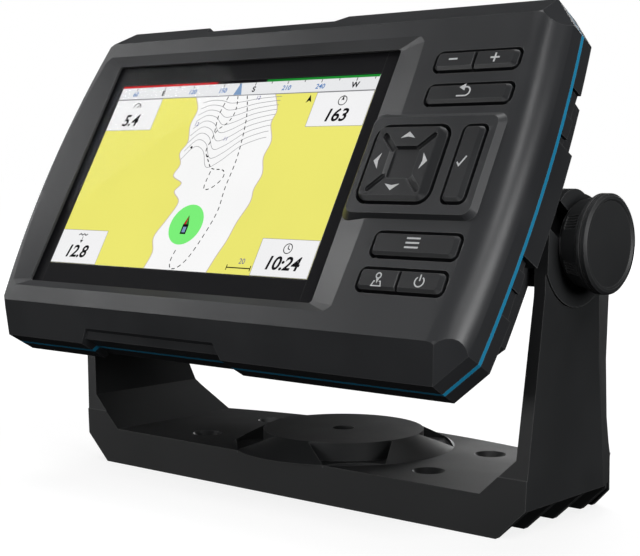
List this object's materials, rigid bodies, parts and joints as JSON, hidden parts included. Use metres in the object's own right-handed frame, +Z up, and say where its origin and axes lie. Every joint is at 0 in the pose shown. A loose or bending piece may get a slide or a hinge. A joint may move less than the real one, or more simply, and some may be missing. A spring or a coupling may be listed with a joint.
{
  "type": "chartplotter display",
  "caption": "Marine chartplotter with a wide screen, a column of rubber keys and a rocker pad, tilting between two hand knobs on a ribbed bail bracket.",
  "frame": {"origin": "middle of the bracket's base, on its underside, at the centre of the four screw holes", "axes": "+Z up, away from the surface that the bracket is screwed to; the display looks along -Y and up; +X runs to the viewer's right, along the pivot axis"},
  "size_m": [0.2036, 0.1037, 0.1446],
  "materials": {
    "housing_plastic": "fine satin moulding grain",
    "rear_plastic": "coarser satin moulding grain",
    "seal_blue": "satin teal-blue elastomer",
    "key_rubber": "matt hard rubber",
    "display_glass": "optically clear cover glass with a black border",
    "display_module": "black polariser",
    "adhesive": "black foam tape",
    "tray_metal": "rolled sheet",
    "board_laminate": "solder mask",
    "ribbon": "polyimide film",
    "chip_epoxy": "moulded epoxy",
    "ceramic": "fired ceramic",
    "silicone": "soft silicone",
    "steel": "zinc plated steel",
    "brass": "turned brass",
    "contact_gold": "gold plated contacts",
    "socket_plastic": "black connector nylon",
    "bracket_plastic": "glass-filled nylon, satin",
    "knob_plastic": "over-moulded soft plastic",
    "washer_plastic": "black acetal"
  },
  "bodies": {
    "bracket": {"bail_bracket": "bracket_plastic"},
    "pivot": {"pivot_washer_left": "washer_plastic", "pivot_washer_right": "washer_plastic"},
    "knob_left_carrier": {"knob_washer_left": "steel"},
    "knob_left": {"knob_left": "knob_plastic", "knob_stud_left": "steel"},
    "knob_right_carrier": {"knob_washer_right": "steel"},
    "knob_right": {"knob_right": "knob_plastic", "knob_stud_right": "steel"},
    "head": {"board_chips": "chip_epoxy", "display_flex": "ribbon", "display_lens": "display_glass", "front_bezel": "housing_plastic", "gps_antenna": "ceramic", "housing_gasket": "seal_blue", "housing_screws": "steel", "key_switches": "steel", "keypad_board": "board_laminate", "keypad_board_screws": "steel", "keypad_flex": "ribbon", "keypad_seal": "silicone", "lcd_frame": "tray_metal", "lcd_frame_screws": "steel", "lcd_panel": "display_module", "lens_adhesive": "adhesive", "main_board": "board_laminate", "main_board_screws": "steel", "pivot_inserts": "brass", "power_pins": "contact_gold", "power_socket": "socket_plastic", "rear_cover": "rear_plastic", "shield_can": "tray_metal", "socket_nuts": "socket_plastic", "socket_seals": "silicone", "sonar_pins": "contact_gold", "sonar_socket": "socket_plastic", "sounder": "chip_epoxy", "vent_plug": "socket_plastic"},
    "key_back": {"key_back": "key_rubber"},
    "key_enter": {"key_enter": "key_rubber"},
    "key_mark": {"key_mark": "key_rubber"},
    "key_menu": {"key_menu": "key_rubber"},
    "key_power": {"key_power": "key_rubber"},
    "key_zoom_in": {"key_zoom_in": "key_rubber"},
    "key_zoom_out": {"key_zoom_out": "key_rubber"},
    "dpad_pivot": {"dpad_pivot": "socket_plastic"},
    "dpad": {"dpad": "key_rubber"}
  },
  "joints": [
    {"name": "lift_out", "type": "slide", "parent": "bracket", "child": "pivot", "axis": [0, -0.8415, 0.5402], "range_m": [0, 0.024]},
    {"name": "head_tilt", "type": "hinge", "parent": "pivot", "child": "head", "pos_m": [0, -0.0125, 0.0793], "axis": [-1, 0, 0], "range_deg": [-27, 45]},
    {"name": "knob_right_travel", "type": "slide", "parent": "head", "child": "knob_right_carrier", "axis": [1, 0, 0], "range_m": [0, 0.00469]},
    {"name": "knob_right_turn", "type": "hinge", "parent": "knob_right_carrier", "child": "knob_right", "pos_m": [0.097, -0.0125, 0.0793], "axis": [1, 0, 0], "range_deg": [0, 1350]},
    {"name": "knob_left_travel", "type": "slide", "parent": "head", "child": "knob_left_carrier", "axis": [-1, 0, 0], "range_m": [0, 0.00469]},
    {"name": "knob_left_turn", "type": "hinge", "parent": "knob_left_carrier", "child": "knob_left", "pos_m": [-0.097, -0.0125, 0.0793], "axis": [-1, 0, 0], "range_deg": [0, 1350]},
    {"name": "key_back_press", "type": "slide", "parent": "head", "child": "key_back", "axis": [0, 0.8695, -0.4939], "range_m": [0, 0.0008], "stiffness_N_per_m": 1500, "springref_m": -0.0005},
    {"name": "key_enter_press", "type": "slide", "parent": "head", "child": "key_enter", "axis": [0, 0.8695, -0.4939], "range_m": [0, 0.0008], "stiffness_N_per_m": 1500, "springref_m": -0.0005},
    {"name": "key_mark_press", "type": "slide", "parent": "head", "child": "key_mark", "axis": [0, 0.8695, -0.4939], "range_m": [0, 0.0008], "stiffness_N_per_m": 1500, "springref_m": -0.0005},
    {"name": "key_menu_press", "type": "slide", "parent": "head", "child": "key_menu", "axis": [0, 0.8695, -0.4939], "range_m": [0, 0.0008], "stiffness_N_per_m": 1500, "springref_m": -0.0005},
    {"name": "key_power_press", "type": "slide", "parent": "head", "child": "key_power", "axis": [0, 0.8695, -0.4939], "range_m": [0, 0.0008], "stiffness_N_per_m": 1500, "springref_m": -0.0005},
    {"name": "key_zoom_in_press", "type": "slide", "parent": "head", "child": "key_zoom_in", "axis": [0, 0.8695, -0.4939], "range_m": [0, 0.0008], "stiffness_N_per_m": 1500, "springref_m": -0.0005},
    {"name": "key_zoom_out_press", "type": "slide", "parent": "head", "child": "key_zoom_out", "axis": [0, 0.8695, -0.4939], "range_m": [0, 0.0008], "stiffness_N_per_m": 1500, "springref_m": -0.0005},
    {"name": "dpad_up_down", "type": "hinge", "parent": "head", "child": "dpad_pivot", "pos_m": [0.0582, -0.03929, 0.09662], "axis": [1, 0, 0], "range_deg": [-2.5, 2.5], "stiffness_Nm_per_rad": 0.4},
    {"name": "dpad_left_right", "type": "hinge", "parent": "dpad_pivot", "child": "dpad", "pos_m": [0.0582, -0.03929, 0.09662], "axis": [0, 0.4939, 0.8695], "range_deg": [-2.5, 2.5], "stiffness_Nm_per_rad": 0.4}
  ],
  "couplings": [
    {"joint": "knob_right_turn", "follows": "knob_right_travel", "rad_per_m": 5026.5},
    {"joint": "knob_left_turn", "follows": "knob_left_travel", "rad_per_m": 5026.5}
  ]
}
